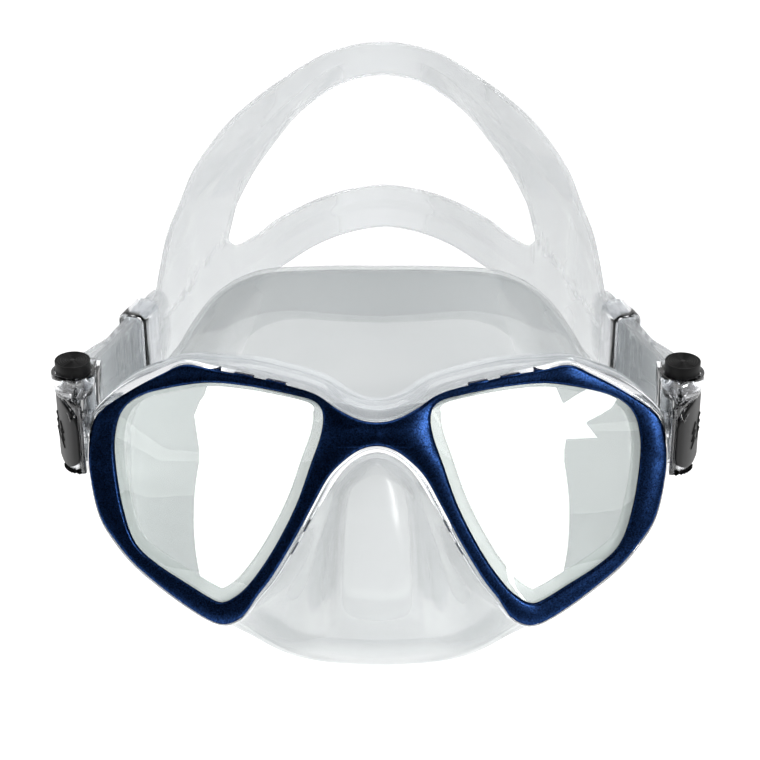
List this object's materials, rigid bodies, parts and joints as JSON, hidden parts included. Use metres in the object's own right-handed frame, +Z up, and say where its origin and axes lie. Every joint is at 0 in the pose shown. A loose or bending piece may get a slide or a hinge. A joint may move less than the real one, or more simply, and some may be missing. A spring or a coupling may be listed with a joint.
{
  "type": "diving mask",
  "caption": "Two-lens diving mask: metallic blue bezel on a clear frame, clear silicone skirt with nose pocket, split headband on swivelling push-button buckles.",
  "frame": {"origin": "centre of the face opening on the plane of the face seal, level with the middle of the lenses", "axes": "+Y back into the face along the wearer's line of sight, reversed; +Z up; +X to the viewer's right when the mask is seen from in front"},
  "size_m": [0.1838, 0.1804, 0.1883],
  "materials": {
    "bezel_blue": "metallic navy paint",
    "clear_plastic": "clear polycarbonate",
    "lens_glass": "tempered glass",
    "clear_silicone": "clear silicone",
    "black_plastic": "moulded black plastic",
    "pin_steel": "stainless steel"
  },
  "bodies": {
    "mask": {"bezel": "bezel_blue", "inner_frame": "clear_plastic", "lens_left": "lens_glass", "lens_right": "lens_glass", "skirt": "clear_silicone", "swivel_pin_left": "pin_steel", "swivel_pin_right": "pin_steel"},
    "harness": {"strap": "clear_silicone", "buckle_left": "clear_plastic", "buckle_right": "clear_plastic", "side_cover_left": "black_plastic", "side_cover_right": "black_plastic", "roller_pin_left": "pin_steel", "roller_pin_right": "pin_steel", "pawl_pin_left": "pin_steel", "pawl_pin_right": "pin_steel", "button_spring_left": "pin_steel", "button_spring_right": "pin_steel"},
    "button_left": {"push_button_left": "black_plastic"},
    "pawl_left": {"pawl_left": "black_plastic"},
    "roller_left": {"roller_left": "pin_steel"},
    "keeper_left": {"strap_keeper_left": "clear_plastic"},
    "button_right": {"push_button_right": "black_plastic"},
    "pawl_right": {"pawl_right": "black_plastic"},
    "roller_right": {"roller_right": "pin_steel"},
    "keeper_right": {"strap_keeper_right": "clear_plastic"}
  },
  "joints": [
    {"name": "harness_swing", "type": "hinge", "parent": "mask", "child": "harness", "pos_m": [0, -0.041, 0.0165], "axis": [1, 0, 0], "range_deg": [-35, 15]},
    {"name": "button_press_left", "type": "slide", "parent": "harness", "child": "button_left", "axis": [0, 0.3746, -0.9272], "range_m": [0, 0.0025], "stiffness_N_per_m": 800, "springref_m": -0.001, "deforming": ["button_spring_left"]},
    {"name": "pawl_release_left", "type": "hinge", "parent": "harness", "child": "pawl_left", "pos_m": [-0.0868, -0.03989, 0.01695], "axis": [0, 0.3746, -0.9272], "range_deg": [0, 12.1]},
    {"name": "roller_spin_left", "type": "hinge", "parent": "harness", "child": "roller_left", "pos_m": [-0.0848, -0.03358, 0.0195], "axis": [0, -0.3746, 0.9272], "continuous": true},
    {"name": "keeper_slide_left", "type": "slide", "parent": "harness", "child": "keeper_left", "axis": [0.309, 0.8818, 0.3563], "range_m": [-0.008, 0.006]},
    {"name": "button_press_right", "type": "slide", "parent": "harness", "child": "button_right", "axis": [0, 0.3746, -0.9272], "range_m": [0, 0.0025], "stiffness_N_per_m": 800, "springref_m": -0.001, "deforming": ["button_spring_right"]},
    {"name": "pawl_release_right", "type": "hinge", "parent": "harness", "child": "pawl_right", "pos_m": [0.0868, -0.03989, 0.01695], "axis": [0, -0.3746, 0.9272], "range_deg": [0, 12.1]},
    {"name": "roller_spin_right", "type": "hinge", "parent": "harness", "child": "roller_right", "pos_m": [0.0848, -0.03358, 0.0195], "axis": [0, -0.3746, 0.9272], "continuous": true},
    {"name": "keeper_slide_right", "type": "slide", "parent": "harness", "child": "keeper_right", "axis": [-0.309, 0.8818, 0.3563], "range_m": [-0.008, 0.006]}
  ],
  "couplings": [
    {"joint": "pawl_release_left", "follows": "button_press_left", "rad_per_m": 83.77},
    {"joint": "pawl_release_right", "follows": "button_press_right", "rad_per_m": 83.77}
  ]
}
